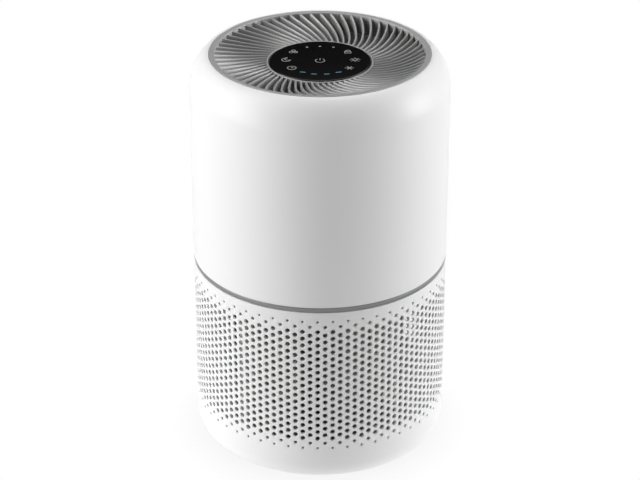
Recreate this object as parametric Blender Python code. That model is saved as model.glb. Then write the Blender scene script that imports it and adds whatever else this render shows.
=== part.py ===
"""Round floor-and-table air purifier with all-round intake, built as its real pieces.

Air enters all round the lower housing, passes the filter cartridge from the outside to its
core, is drawn up by a centrifugal fan and leaves through the spiral grille on top. The lower
housing's wall is plain here: its many small intake holes are not cut.
The origin is the middle of the footprint, on the surface that the feet stand on; +Z is up
and -Y is the front. Lengths below are in millimetres until MM turns them into metres.
"""

import math

import bmesh
import bpy
from mathutils import Vector

MM = 0.001

# ---- driving dimensions -------------------------------------------------------------
BODY_RADIUS = 110.0
HEIGHT = 360.0
WALL = 2.4
FIT = 0.3  # clearance between neighbouring pieces

FOOT_HEIGHT = 1.5  # how far the feet stand proud of the base
BASE_THICKNESS = 2.5
BASE_CORNER = 21.5  # size of the rounded bottom corner
BASE_CORNER_POWER = 2.2
BASE_OPENING = 81.0  # radius of the filter opening in the base

LOWER_TOP = 170.8  # top edge of the lower housing
UPPER_BOTTOM = 175.5  # bottom edge of the upper housing
RING_RADIUS = 109.4
RING_LOW, RING_HIGH = LOWER_TOP + FIT, UPPER_BOTTOM - FIT

SHOULDER = 28.0  # height of the rounded shoulder
SHOULDER_POWER = 1.62
RIM_RADIUS = 93.0  # outside of the grille's rim

VANES = 62
VANE_THICKNESS = 1.6
VANE_DEPTH = 7.0
VANE_INNER, VANE_OUTER = 45.0, 89.6
VANE_SWEEP = 0.45  # degrees of turn for each millimetre outwards
BOWL_LOW, BOWL_RISE, BOWL_POWER = 351.4, 8.15, 2.2  # the vanes' top edges make a shallow bowl

PANEL_RADIUS = 43.0
PANEL_TOP = 352.0
PANEL_WALL = 1.6

DECK = 166.0  # underside of the deck between filter and fan
FAN_BLADES = 9
GUIDE_VANES = 13
DUCT_INNER = 78.0

FILTER_RADIUS = 78.5
FILTER_TOP = 162.5
FILTER_BOTTOM = 6.7

COVER_RADIUS = 80.4
LUG_ANGLE, LUG_WIDTH = 30.0, 12.0  # degrees
COVER_TWIST = 20.0  # degrees from locked to free
NOTCH_WIDTH = 16.0

POST_RADIUS = 91.0  # circle on which the chassis posts and base screws stand
QUARTERS = (0, 90, 180, 270)

SEGMENTS = 48  # around the outer shells
INNER_SEGMENTS = 32
SMALL_SEGMENTS = 12


# ---- scene and materials ------------------------------------------------------------
for old in list(bpy.data.objects):
    bpy.data.objects.remove(old, do_unlink=True)


def material(name, colour, roughness, metallic=0.0):
    """A plain Principled material."""
    made = bpy.data.materials.new(name)
    made.use_nodes = True
    shader = made.node_tree.nodes["Principled BSDF"]
    shader.inputs["Base Color"].default_value = (*colour, 1.0)
    shader.inputs["Roughness"].default_value = roughness
    shader.inputs["Metallic"].default_value = metallic
    return made


WHITE = material("white_plastic", (0.86, 0.86, 0.85), 0.42)
SILVER = material("silver_paint", (0.42, 0.43, 0.43), 0.35, 0.6)
GRILLE_GREY = material("grey_grille", (0.26, 0.27, 0.27), 0.38, 0.3)
BLACK_PANEL = material("black_panel", (0.008, 0.008, 0.008), 0.18)
MILKY = material("light_guide", (0.8, 0.82, 0.84), 0.3)
BOARD = material("board_green", (0.02, 0.16, 0.07), 0.45)
INNER_PLASTIC = material("inner_plastic", (0.58, 0.59, 0.58), 0.5)
FAN_PLASTIC = material("fan_plastic", (0.07, 0.075, 0.08), 0.45)
STEEL = material("steel", (0.6, 0.6, 0.6), 0.28, 1.0)
COPPER = material("windings", (0.55, 0.25, 0.12), 0.4, 0.8)
RUBBER = material("rubber", (0.03, 0.03, 0.03), 0.8)
PAPER = material("filter_paper", (0.84, 0.83, 0.79), 0.9)
CARBON = material("carbon", (0.02, 0.02, 0.02), 0.85)
NET = material("filter_net", (0.75, 0.76, 0.76), 0.8)
FOAM = material("foam_seal", (0.05, 0.05, 0.05), 0.95)
FILTER_PLASTIC = material("filter_plastic", (0.2, 0.21, 0.22), 0.55)
RIBBON = material("ribbon", (0.1, 0.3, 0.45), 0.85)
SLEEVE = material("lead_sleeve", (0.02, 0.02, 0.02), 0.6)


# ---- shape helpers ------------------------------------------------------------------
def add_turned(shape, profile, segments):
    """Turns a profile of (radius, height) about +Z. A profile off the axis is a closed loop."""
    points = [shape.verts.new((r * MM, 0.0, z * MM)) for r, z in profile]
    pairs = list(zip(points, points[1:]))
    if profile[0][0] > 0.0:
        pairs.append((points[-1], points[0]))
    edges = [shape.edges.new(pair) for pair in pairs]
    bmesh.ops.spin(
        shape, geom=points + edges, cent=(0, 0, 0), axis=(0, 0, 1),
        angle=2.0 * math.pi, steps=segments, use_merge=True,
    )


def add_loft(shape, sections):
    """Joins equal sections, lists of points in millimetres, into one capped solid."""
    loops = [[shape.verts.new(Vector(p) * MM) for p in section] for section in sections]
    count = len(loops[0])
    for low, high in zip(loops, loops[1:]):
        for i in range(count):
            j = (i + 1) % count
            shape.faces.new((low[i], low[j], high[j], high[i]))
    shape.faces.new(loops[0])
    shape.faces.new(loops[-1])


def polar(radius, degrees, height):
    """A point from its radius, its angle from +X and its height."""
    turn = math.radians(degrees)
    return (radius * math.cos(turn), radius * math.sin(turn), height)


def add_arc_block(shape, inner, outer, low, high, start, end, steps):
    """A block bent round the axis between two angles in degrees."""
    angles = [start + (end - start) * i / steps for i in range(steps + 1)]
    add_loft(shape, [
        [polar(inner, a, low), polar(outer, a, low), polar(outer, a, high), polar(inner, a, high)]
        for a in angles
    ])


def add_box(shape, low, high):
    """A box between two corners."""
    (x0, y0, z0), (x1, y1, z1) = low, high
    add_loft(shape, [
        [(x0, y0, z), (x1, y0, z), (x1, y1, z), (x0, y1, z)] for z in (z0, z1)
    ])


def add_stepped_rod(shape, centre, steps, segments=SMALL_SEGMENTS):
    """An upright rod about centre, through steps of (radius, height)."""
    turns = [2.0 * math.pi * i / segments for i in range(segments)]
    add_loft(shape, [
        [(centre[0] + radius * math.cos(t), centre[1] + radius * math.sin(t), height) for t in turns]
        for radius, height in steps
    ])


def add_rod(shape, centre, radius, low, high, segments=SMALL_SEGMENTS):
    """A plain upright rod about centre."""
    add_stepped_rod(shape, centre, ((radius, low), (radius, high)), segments)


def finish_piece(name, shape, look, guide=False):
    """Makes the object. A guide is a cutter or a shape to be joined, left out of the part."""
    bmesh.ops.remove_doubles(shape, verts=shape.verts, dist=1e-6)
    bmesh.ops.recalc_face_normals(shape, faces=shape.faces)
    mesh = bpy.data.meshes.new(name)
    shape.to_mesh(mesh)
    shape.free()
    mesh.shade_smooth()
    mesh.set_sharp_from_angle(angle=math.radians(32))
    piece = bpy.data.objects.new(name, mesh)
    bpy.context.scene.collection.objects.link(piece)
    if guide:
        piece.hide_render = True
        piece.display_type = "WIRE"
    else:
        mesh.materials.append(look)
    return piece


def combine(piece, operation, guide):
    """Cuts a guide out of a piece, or joins it on."""
    step = piece.modifiers.new(guide.name, "BOOLEAN")
    step.operation = operation
    step.solver = "EXACT"
    step.object = guide


def turned_piece(name, profile, look, segments=INNER_SEGMENTS):
    """A piece that is one turned profile."""
    shape = bmesh.new()
    add_turned(shape, profile, segments)
    return finish_piece(name, shape, look)


def superellipse(start, size, power, steps):
    """Points of a quarter superellipse, from its outer side (angle 0) to its crest (90 degrees).

    start is the corner's inner point and size its extent outwards and upwards.
    """
    points = []
    for i in range(steps + 1):
        t = 0.5 * math.pi * i / steps
        across = max(math.cos(t), 0.0) ** (2.0 / power)
        up = max(math.sin(t), 0.0) ** (2.0 / power)
        points.append((start[0] + size[0] * across, start[1] + size[1] * up))
    return points


# ---- upper housing: white shell with the rounded shoulder and the grille's ledge -----
HOUSING_TOP = HEIGHT - FIT
SEAT_RADIUS = RIM_RADIUS + FIT
LEDGE_INNER, LEDGE_TOP, LEDGE_BOTTOM = 90.0, 351.4, 349.2
shoulder_foot = HOUSING_TOP - SHOULDER
outer_shoulder = superellipse(
    (SEAT_RADIUS, shoulder_foot), (BODY_RADIUS - SEAT_RADIUS, SHOULDER), SHOULDER_POWER, 6
)
inner_shoulder = superellipse(
    (SEAT_RADIUS - WALL, shoulder_foot), (BODY_RADIUS - SEAT_RADIUS, SHOULDER - WALL),
    SHOULDER_POWER, 6,
)
inner_wall = [p for p in inner_shoulder if p[1] < LEDGE_BOTTOM - 0.5]
last_r, last_z = inner_wall[-1]
turned_piece(
    "upper_housing",
    [(BODY_RADIUS, UPPER_BOTTOM)] + outer_shoulder
    + [(SEAT_RADIUS, LEDGE_TOP), (LEDGE_INNER, LEDGE_TOP), (LEDGE_INNER, LEDGE_BOTTOM)]
    + [(last_r - 1.0, LEDGE_BOTTOM)] + inner_wall[::-1]
    + [(BODY_RADIUS - WALL, UPPER_BOTTOM)],
    WHITE, SEGMENTS,
)

# ---- trim ring: painted hoop that fills the joint between the two housings -----------
SPIGOT_OUTER, SPIGOT_INNER = 107.2, 105.0
turned_piece(
    "trim_ring",
    [(RING_RADIUS, RING_LOW), (RING_RADIUS, RING_HIGH),
     (SPIGOT_OUTER + FIT, RING_HIGH), (SPIGOT_OUTER + FIT, RING_LOW)],
    SILVER, SEGMENTS,
)

# ---- lower housing: white shell, rounded to the base, with the filter opening --------
base_top = FOOT_HEIGHT + BASE_THICKNESS
flat_radius = BODY_RADIUS - BASE_CORNER
outer_corner = superellipse(
    (flat_radius, FOOT_HEIGHT + BASE_CORNER), (BASE_CORNER, -BASE_CORNER), BASE_CORNER_POWER, 5
)
inner_corner = superellipse(
    (flat_radius, FOOT_HEIGHT + BASE_CORNER),
    (BASE_CORNER - WALL, BASE_THICKNESS - BASE_CORNER), BASE_CORNER_POWER, 5,
)
lower_housing = turned_piece(
    "lower_housing",
    [(BODY_RADIUS, LOWER_TOP)] + outer_corner
    + [(BASE_OPENING, FOOT_HEIGHT), (BASE_OPENING, base_top)]
    + inner_corner[::-1] + [(BODY_RADIUS - WALL, LOWER_TOP)],
    WHITE, SEGMENTS,
)

FOOT_INNER, FOOT_OUTER, FOOT_HALF_ANGLE = 83.4, 88.4, 12.5
FOOT_POCKET = 1.0
INLET_HEIGHT, INLET_RADIUS = 30.0, 6.4
SCREW_HEAD, SCREW_SHANK = 3.0, 1.5
SCREW_SEAT = FOOT_HEIGHT + 1.2  # ceiling of the counterbore
base_cuts = bmesh.new()
for quarter in QUARTERS:
    notch = quarter + LUG_ANGLE + COVER_TWIST
    add_arc_block(
        base_cuts, BASE_OPENING - 3.0, BASE_OPENING + 3.4, 0.0, base_top + 2.0,
        notch - NOTCH_WIDTH / 2, notch + NOTCH_WIDTH / 2, 4,
    )
    pocket = FOOT_HALF_ANGLE + 0.5
    add_arc_block(
        base_cuts, FOOT_INNER - FIT, FOOT_OUTER + FIT, 0.0, FOOT_HEIGHT + FOOT_POCKET,
        quarter - pocket, quarter + pocket, 5,
    )
    head_room, shank_room = SCREW_HEAD + 0.4, SCREW_SHANK + 0.4
    add_stepped_rod(base_cuts, polar(POST_RADIUS, quarter + 45, 0), (
        (head_room, 0.5), (head_room, SCREW_SEAT), (shank_room, SCREW_SEAT),
        (shank_room, base_top + 1.0),
    ))
combine(lower_housing, "DIFFERENCE", finish_piece("base_cuts", base_cuts, None, guide=True))

inlet_hole = bmesh.new()
add_rod(inlet_hole, (0, 0), INLET_RADIUS + 0.4, BODY_RADIUS - 8.0, BODY_RADIUS + 4.0, 24)
inlet_cutter = finish_piece("inlet_hole", inlet_hole, None, guide=True)
inlet_cutter.rotation_euler = (-math.pi / 2, 0, 0)
inlet_cutter.location = (0, 0, INLET_HEIGHT * MM)
combine(lower_housing, "DIFFERENCE", inlet_cutter)

# ---- feet: rubber arcs pressed into pockets in the base ------------------------------
for number, quarter in enumerate(QUARTERS, 1):
    foot = bmesh.new()
    add_arc_block(
        foot, FOOT_INNER, FOOT_OUTER, 0.0, FOOT_HEIGHT + FOOT_POCKET - FIT,
        quarter - FOOT_HALF_ANGLE, quarter + FOOT_HALF_ANGLE, 5,
    )
    finish_piece(f"foot_{number}", foot, RUBBER)

# ---- base screws: they hold the lower housing to the chassis posts -------------------
for number, quarter in enumerate(QUARTERS, 1):
    screw = bmesh.new()
    head_top = SCREW_SEAT - FIT
    add_stepped_rod(screw, (0.0, 0.0), (
        (SCREW_HEAD - 0.4, FOOT_HEIGHT + 0.1), (SCREW_HEAD, FOOT_HEIGHT + 0.4),
        (SCREW_HEAD, head_top), (SCREW_SHANK, head_top), (SCREW_SHANK, 13.0),
    ))
    placed = finish_piece(f"base_screw_{number}", screw, STEEL)
    placed.location = Vector(polar(POST_RADIUS, quarter + 45, 0)) * MM

# ---- cord inlet: flanged bush in the lower back ---------------------------------------
cord_inlet = turned_piece(
    "cord_inlet",
    [(3.3, 103.6), (8.5, 103.6), (8.5, 106.6), (INLET_RADIUS, 106.6),
     (INLET_RADIUS, 109.4), (3.3, 109.4)],
    RUBBER, 24,
)
cord_inlet.rotation_euler = (-math.pi / 2, 0, 0)
cord_inlet.location = (0, 0, INLET_HEIGHT * MM)

# ---- chassis: deck with the fan's mouth, locating spigot and four posts ---------------
DECK_TOP = DECK + 2.5
MOUTH = 48.0
LEAD_RADIUS, LEAD_Y = 2.6, 101.0
POST_LOW = base_top + 1.4  # the base curves up under the posts
chassis = bmesh.new()
add_turned(chassis, [
    (SPIGOT_OUTER, 164.5), (SPIGOT_OUTER, 182.0), (SPIGOT_INNER, 182.0), (SPIGOT_INNER, DECK_TOP),
    (MOUTH + 1.6, DECK_TOP), (MOUTH + 1.6, 170.2), (MOUTH, 170.2), (MOUTH, DECK),
    (SPIGOT_INNER, DECK), (SPIGOT_INNER, 164.5),
], SEGMENTS)
mid_chassis = finish_piece("mid_chassis", chassis, INNER_PLASTIC)
posts = bmesh.new()
pilot_holes = bmesh.new()
for quarter in QUARTERS:
    foot_of_post = polar(POST_RADIUS, quarter + 45, 0)
    add_rod(posts, foot_of_post, 4.0, POST_LOW, DECK + 0.6)
    add_rod(pilot_holes, foot_of_post, SCREW_SHANK + 0.4, base_top - 1.0, 16.0)
add_rod(pilot_holes, (0, LEAD_Y), LEAD_RADIUS + 0.5, DECK - 2.0, DECK_TOP + 1.0)
combine(mid_chassis, "UNION", finish_piece("posts", posts, None, guide=True))
combine(mid_chassis, "DIFFERENCE", finish_piece("pilot_holes", pilot_holes, None, guide=True))

# ---- inlet guard: rings and spokes across the fan's mouth -----------------------------
GUARD_LOW, GUARD_HIGH = 166.2, 168.3
guard = bmesh.new()
add_turned(guard, [(45.2, GUARD_LOW), (MOUTH - FIT, GUARD_LOW), (MOUTH - FIT, GUARD_HIGH),
                   (45.2, GUARD_HIGH)], INNER_SEGMENTS)
add_turned(guard, [(28.0, GUARD_LOW), (30.0, GUARD_LOW), (30.0, GUARD_HIGH),
                   (28.0, GUARD_HIGH)], INNER_SEGMENTS)
add_turned(guard, [(0.0, GUARD_LOW), (12.0, GUARD_LOW), (12.0, GUARD_HIGH), (0.0, GUARD_HIGH)], 24)
inlet_guard = finish_piece("inlet_guard", guard, INNER_PLASTIC)
spokes = bmesh.new()
for i in range(8):
    turn = 45.0 * i + 11.25
    half = 1.0
    ends = []
    for radius in (10.0, 46.4):
        side = math.degrees(half / radius)
        ends.append([
            polar(radius, turn - side, GUARD_LOW + 0.3), polar(radius, turn + side, GUARD_LOW + 0.3),
            polar(radius, turn + side, GUARD_HIGH - 0.3), polar(radius, turn - side, GUARD_HIGH - 0.3),
        ])
    add_loft(spokes, ends)
combine(inlet_guard, "UNION", finish_piece("spokes", spokes, None, guide=True))

# ---- impeller: back plate and shroud joined by backward-curved blades ------------------
SHAFT = 3.0
IMPELLER = 67.0
wheel = bmesh.new()
add_turned(wheel, [
    (SHAFT + FIT, 184.0), (10.0, 184.0), (12.0, 190.0), (30.0, 192.2), (IMPELLER, 192.2),
    (IMPELLER, 194.0), (14.0, 194.0), (10.0, 197.0), (SHAFT + FIT, 197.0),
], INNER_SEGMENTS)
add_turned(wheel, [
    (46.0, 171.0), (50.0, 171.0), (IMPELLER, 176.5), (IMPELLER, 178.3), (50.0, 173.0),
    (46.0, 173.0),
], INNER_SEGMENTS)
impeller = finish_piece("impeller", wheel, FAN_PLASTIC)
BLADE_THICKNESS, BLADE_WRAP = 1.6, -52.0
blades = bmesh.new()
for i in range(FAN_BLADES):
    sections = []
    for radius, low in ((36.0, 176.0), (43.0, 173.6), (50.0, 172.1), (66.4, 177.3)):
        turn = 360.0 * i / FAN_BLADES + BLADE_WRAP * (radius - 36.0) / 30.4
        side = math.degrees(0.5 * BLADE_THICKNESS / radius) * 1.4
        sections.append([polar(radius, turn - side, low), polar(radius, turn + side, low),
                         polar(radius, turn + side, 193.0), polar(radius, turn - side, 193.0)])
    add_loft(blades, sections)
combine(impeller, "UNION", finish_piece("blades", blades, None, guide=True))

turned_piece(
    "impeller_nut",
    [(SHAFT + 0.7, 179.5), (6.6, 179.5), (6.6, 183.7), (SHAFT + 0.7, 183.7)], STEEL, 6,
)
turned_piece("motor_shaft", [(0, 177.5), (SHAFT - 0.5, 177.5), (SHAFT, 178.0), (SHAFT, 228.0), (0, 228.0)],
             STEEL, SMALL_SEGMENTS)

# ---- motor: outer rotor cup, wound stator and two bearings -----------------------------
ROTOR = 36.0
turned_piece(
    "motor_rotor",
    [(SHAFT + FIT, 198.0), (ROTOR, 198.0), (ROTOR, 220.0), (ROTOR - 2.2, 220.0),
     (ROTOR - 2.2, 200.2), (SHAFT + FIT, 200.2)],
    STEEL, INNER_SEGMENTS,
)
TUBE_INNER, TUBE_OUTER = 6.6, 8.8
core = bmesh.new()
add_turned(core, [(TUBE_OUTER + FIT, 204.0), (33.2, 204.0), (33.2, 217.0), (TUBE_OUTER + FIT, 217.0)],
           INNER_SEGMENTS)
motor_stator = finish_piece("motor_stator", core, COPPER)
slots = bmesh.new()
for i in range(12):
    ends = []
    for radius in (18.0, 35.0):
        side = math.degrees(1.6 / radius)
        turn = 30.0 * i + 3.75
        ends.append([polar(radius, turn - side, 203.0), polar(radius, turn + side, 203.0),
                     polar(radius, turn + side, 218.0), polar(radius, turn - side, 218.0)])
    add_loft(slots, ends)
combine(motor_stator, "DIFFERENCE", finish_piece("slots", slots, None, guide=True))
for name, low in (("bearing_lower", 203.6), ("bearing_upper", 223.4)):
    turned_piece(
        name,
        [(SHAFT + FIT, low), (TUBE_INNER - FIT, low), (TUBE_INNER - FIT, low + 4.0),
         (SHAFT + FIT, low + 4.0)],
        STEEL, SMALL_SEGMENTS,
    )

# ---- fan diffuser: outer ring, guide vanes and the hub that holds the motor ------------
HUB = 44.0
DIFFUSER_TOP = 234.0
diffuser = bmesh.new()
add_turned(diffuser, [
    (0.0, 236.0), (20.0, 235.0), (36.0, 231.0), (HUB, 224.0), (HUB, 197.0), (HUB - 2.0, 197.0),
    (HUB - 2.0, 223.0), (35.0, 228.8), (TUBE_OUTER, 231.0), (TUBE_OUTER, 203.0),
    (TUBE_INNER, 203.0), (TUBE_INNER, 229.0), (0.0, 229.0),
], INNER_SEGMENTS)
add_turned(diffuser, [
    (DUCT_INNER, DECK_TOP + 0.4), (DUCT_INNER + 2.0, DECK_TOP + 0.4),
    (DUCT_INNER + 2.0, DIFFUSER_TOP), (DUCT_INNER, DIFFUSER_TOP),
], INNER_SEGMENTS)
fan_diffuser = finish_piece("fan_diffuser", diffuser, INNER_PLASTIC)
guides = bmesh.new()
for i in range(GUIDE_VANES):
    sections = []
    for height, lean in ((201.0, 0.0), (207.0, 5.5), (214.0, 9.0), (222.0, 10.5)):
        turn = 360.0 * i / GUIDE_VANES + lean
        inner_side = math.degrees(1.0 / (HUB - 1.0))
        outer_side = math.degrees(1.0 / (DUCT_INNER + 1.0))
        sections.append([
            polar(HUB - 1.0, turn - inner_side, height), polar(DUCT_INNER + 1.0, turn - outer_side, height),
            polar(DUCT_INNER + 1.0, turn + outer_side, height), polar(HUB - 1.0, turn + inner_side, height),
        ])
    add_loft(guides, sections)
combine(fan_diffuser, "UNION", finish_piece("guides", guides, None, guide=True))

# ---- air duct: from the diffuser up to the grille --------------------------------------
DUCT_TOP, DUCT_WIDE = 343.2, 86.0
turned_piece(
    "air_duct",
    [(DUCT_INNER, DIFFUSER_TOP + FIT), (DUCT_INNER + 2.0, DIFFUSER_TOP + FIT),
     (DUCT_INNER + 2.0, 254.2), (DUCT_WIDE + 2.0, 274.2), (DUCT_WIDE + 2.0, DUCT_TOP),
     (DUCT_WIDE, DUCT_TOP), (DUCT_WIDE, 275.0), (DUCT_INNER, 255.0)],
    INNER_PLASTIC, INNER_SEGMENTS,
)

# ---- top grille: rim, spiral vanes and the hub ring round the control panel ------------
HUB_RING_INNER, HUB_RING_OUTER, HUB_RING_TOP = PANEL_RADIUS + 0.4, 45.6, 351.6


def bowl(radius):
    """Height of the vanes' top edges at a radius."""
    return BOWL_LOW + BOWL_RISE * (max(radius - VANE_INNER, 0.0) / VANE_INNER) ** BOWL_POWER


grille = bmesh.new()
add_turned(grille, [
    (RIM_RADIUS, LEDGE_TOP + FIT), (RIM_RADIUS, HEIGHT - 0.5), (RIM_RADIUS - 0.5, HEIGHT),
    (90.3, HEIGHT), (88.6, 358.2), (88.2, 352.5), (88.2, 343.5), (89.7, 343.5),
    (89.7, LEDGE_TOP + FIT),
], SEGMENTS)
add_turned(grille, [
    (HUB_RING_INNER, 338.0), (HUB_RING_OUTER, 338.0), (HUB_RING_OUTER, HUB_RING_TOP),
    (HUB_RING_INNER, HUB_RING_TOP),
], SEGMENTS)
top_grille = finish_piece("top_grille", grille, GRILLE_GREY)
vanes = bmesh.new()
for i in range(VANES):
    sections = []
    for step in range(3):
        radius = VANE_INNER + (VANE_OUTER - VANE_INNER) * step / 2
        turn = 360.0 * i / VANES + VANE_SWEEP * (radius - VANE_INNER)
        slope = math.atan(radius * math.radians(VANE_SWEEP))
        side = math.degrees(0.5 * VANE_THICKNESS / (radius * math.cos(slope)))
        top = bowl(radius)
        sections.append([
            polar(radius, turn - side, top - VANE_DEPTH), polar(radius, turn + side, top - VANE_DEPTH),
            polar(radius, turn + side, top), polar(radius, turn - side, top),
        ])
    add_loft(vanes, sections)
combine(top_grille, "UNION", finish_piece("vanes", vanes, None, guide=True))

# ---- control panel: black touch cover over light guide, board and base -----------------
PANEL_BASE_TOP = 345.2
panel_room = PANEL_RADIUS - PANEL_WALL  # inside of the cover's and the base's walls
panel_fill = panel_room - 0.6  # light guide and board, loose inside them
turned_piece(
    "panel_cover",
    [(0.0, PANEL_TOP), (PANEL_RADIUS - 2.2, PANEL_TOP), (PANEL_RADIUS - 0.7, PANEL_TOP - 0.6),
     (PANEL_RADIUS, PANEL_TOP - 2.0), (PANEL_RADIUS, 345.6), (panel_room, 345.6),
     (panel_room, 349.9), (0.0, 349.9)],
    BLACK_PANEL, SEGMENTS,
)
turned_piece(
    "light_guide", [(0.0, 347.7), (panel_fill, 347.7), (panel_fill, 349.5), (0.0, 349.5)], MILKY,
)
turned_piece(
    "touch_board", [(0.0, 345.8), (panel_fill, 345.8), (panel_fill, 347.4), (0.0, 347.4)], BOARD,
)
turned_piece(
    "panel_base",
    [(0.0, 338.6), (PANEL_RADIUS, 338.6), (PANEL_RADIUS, PANEL_BASE_TOP),
     (panel_room, PANEL_BASE_TOP), (panel_room, 341.6), (0.0, 341.6)],
    INNER_PLASTIC,
)

# ---- power electronics: upright board behind the duct, and its mains lead --------------
BOARD_Y, BOARD_LOW, BOARD_HIGH = 99.0, 190.0, 242.0
board = bmesh.new()
add_box(board, (-32.0, BOARD_Y - 0.8, BOARD_LOW), (32.0, BOARD_Y + 0.8, BOARD_HIGH))
finish_piece("power_board", board, BOARD)
transformer = bmesh.new()
add_box(transformer, (-26.0, 84.0, 206.0), (-4.0, BOARD_Y - 0.8 - FIT, 226.0))
finish_piece("power_transformer", transformer, FAN_PLASTIC)
capacitor = turned_piece(
    "main_capacitor",
    [(0.0, 84.6), (6.6, 84.6), (7.5, 85.5), (7.5, BOARD_Y - 0.8 - FIT), (0.0, BOARD_Y - 0.8 - FIT)],
    SLEEVE, SMALL_SEGMENTS,
)
capacitor.rotation_euler = (-math.pi / 2, 0, 0)
capacitor.location = (16.0 * MM, 0, 204.0 * MM)

lead_route = [(103.2, INLET_HEIGHT), (100.4, INLET_HEIGHT + 0.6), (99.0, INLET_HEIGHT + 4.0),
              (98.8, INLET_HEIGHT + 9.0), (LEAD_Y, 48.0), (LEAD_Y, 160.0), (LEAD_Y, 176.0),
              (BOARD_Y, 185.0), (BOARD_Y, BOARD_LOW - 0.4)]
lead = bpy.data.curves.new("mains_lead", "CURVE")
lead.dimensions = "3D"
run = lead.splines.new("POLY")
run.points.add(len(lead_route) - 1)
for point, (y, z) in zip(run.points, lead_route):
    point.co = (0.0, y * MM, z * MM, 1.0)
lead.bevel_depth = LEAD_RADIUS * MM
lead.bevel_resolution = 2
lead.use_fill_caps = True
lead.materials.append(SLEEVE)
mains_lead = bpy.data.objects.new("mains_lead", lead)
bpy.context.scene.collection.objects.link(mains_lead)

# ---- filter cartridge: caps, paper, carbon, inner cage, outer net, seal and pull tab ---
MEDIA_LOW, MEDIA_HIGH = 9.0, 160.0
for name, inner, outer, look in (
    ("filter_core", 43.6, 45.4, FILTER_PLASTIC),
    ("filter_carbon", 45.8, 51.0, CARBON),
    ("filter_media", 51.4, 75.0, PAPER),
    ("filter_prefilter", 75.4, 76.5, NET),
):
    turned_piece(
        name, [(inner, MEDIA_LOW), (outer, MEDIA_LOW), (outer, MEDIA_HIGH), (inner, MEDIA_HIGH)], look
    )
turned_piece(
    "filter_top_cap",
    [(42.0, MEDIA_HIGH + FIT), (76.9, MEDIA_HIGH + FIT), (76.9, 152.0), (FILTER_RADIUS, 152.0),
     (FILTER_RADIUS, FILTER_TOP), (42.0, FILTER_TOP)],
    FILTER_PLASTIC,
)
RECESS = 33.8  # raised middle of the bottom cap, over the cover's grip
turned_piece(
    "filter_bottom_cap",
    [(0.0, 20.0), (RECESS + 1.7, 20.0), (RECESS + 1.7, MEDIA_LOW - FIT), (76.9, MEDIA_LOW - FIT),
     (76.9, 16.0), (FILTER_RADIUS, 16.0), (FILTER_RADIUS, FILTER_BOTTOM), (RECESS, FILTER_BOTTOM),
     (RECESS, 18.2), (0.0, 18.2)],
    FILTER_PLASTIC,
)
turned_piece(
    "filter_seal",
    [(50.0, FILTER_TOP + FIT), (76.0, FILTER_TOP + FIT), (76.0, DECK - FIT), (50.0, DECK - FIT)],
    FOAM,
)
tab = bmesh.new()
add_box(tab, (-9.0, 38.0, FILTER_BOTTOM - 1.1), (9.0, 60.0, FILTER_BOTTOM - FIT))
finish_piece("filter_pull_tab", tab, RIBBON)

# ---- bottom cover: twist-off disc with a finger grip and four bayonet lugs --------------
cover = bmesh.new()
add_turned(cover, [
    (0.0, 13.5), (29.5, 13.5), (30.5, FOOT_HEIGHT), (COVER_RADIUS, FOOT_HEIGHT), (COVER_RADIUS, 6.2),
    (COVER_RADIUS - 1.8, 6.2), (COVER_RADIUS - 1.8, base_top), (66.0, base_top), (66.0, 6.4),
    (64.0, 6.4), (64.0, base_top), (33.0, base_top), (31.8, 15.5), (0.0, 15.5),
], INNER_SEGMENTS)
bottom_cover = finish_piece("bottom_cover", cover, WHITE)
grip = bmesh.new()
add_box(grip, (-31.0, -5.0, FOOT_HEIGHT + 0.5), (31.0, 5.0, 14.5))
for quarter in QUARTERS:
    add_arc_block(
        grip, COVER_RADIUS - 1.0, BASE_OPENING + 2.6, base_top + FIT, 6.0,
        quarter + LUG_ANGLE - LUG_WIDTH / 2, quarter + LUG_ANGLE + LUG_WIDTH / 2, 3,
    )
combine(bottom_cover, "UNION", finish_piece("grip_and_lugs", grip, None, guide=True))
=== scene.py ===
import math

import bmesh
import bpy
import numpy as np
from mathutils import Matrix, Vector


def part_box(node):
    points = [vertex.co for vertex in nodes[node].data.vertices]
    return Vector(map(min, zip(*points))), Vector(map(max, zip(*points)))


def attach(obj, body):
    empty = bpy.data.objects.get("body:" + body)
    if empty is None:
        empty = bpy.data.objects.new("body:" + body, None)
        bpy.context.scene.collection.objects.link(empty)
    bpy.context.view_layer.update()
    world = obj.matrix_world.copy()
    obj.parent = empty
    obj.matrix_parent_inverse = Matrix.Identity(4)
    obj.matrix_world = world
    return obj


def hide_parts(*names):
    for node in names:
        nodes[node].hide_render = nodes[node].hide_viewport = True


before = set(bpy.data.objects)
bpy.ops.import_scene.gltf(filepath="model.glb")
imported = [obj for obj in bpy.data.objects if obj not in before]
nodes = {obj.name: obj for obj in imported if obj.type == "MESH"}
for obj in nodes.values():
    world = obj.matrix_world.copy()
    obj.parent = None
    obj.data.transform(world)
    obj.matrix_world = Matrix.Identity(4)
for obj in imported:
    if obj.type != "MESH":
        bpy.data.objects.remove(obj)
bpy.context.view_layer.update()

# ======================================================================================
# Studio: a camera at table height looking down on the purifier, a white sweep, and big
# soft lights at both sides with little from the front. Built as a sky of soft lobes, so
# the drum is dim in the middle and bright at its sides.
# ======================================================================================
CAMERA_ELEVATION = math.radians(27.45)
CAMERA_DISTANCE = 1.945
CAMERA_AIM = 0.1825  # height of the point it looks at
CAMERA_LENS = 125.3

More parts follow.
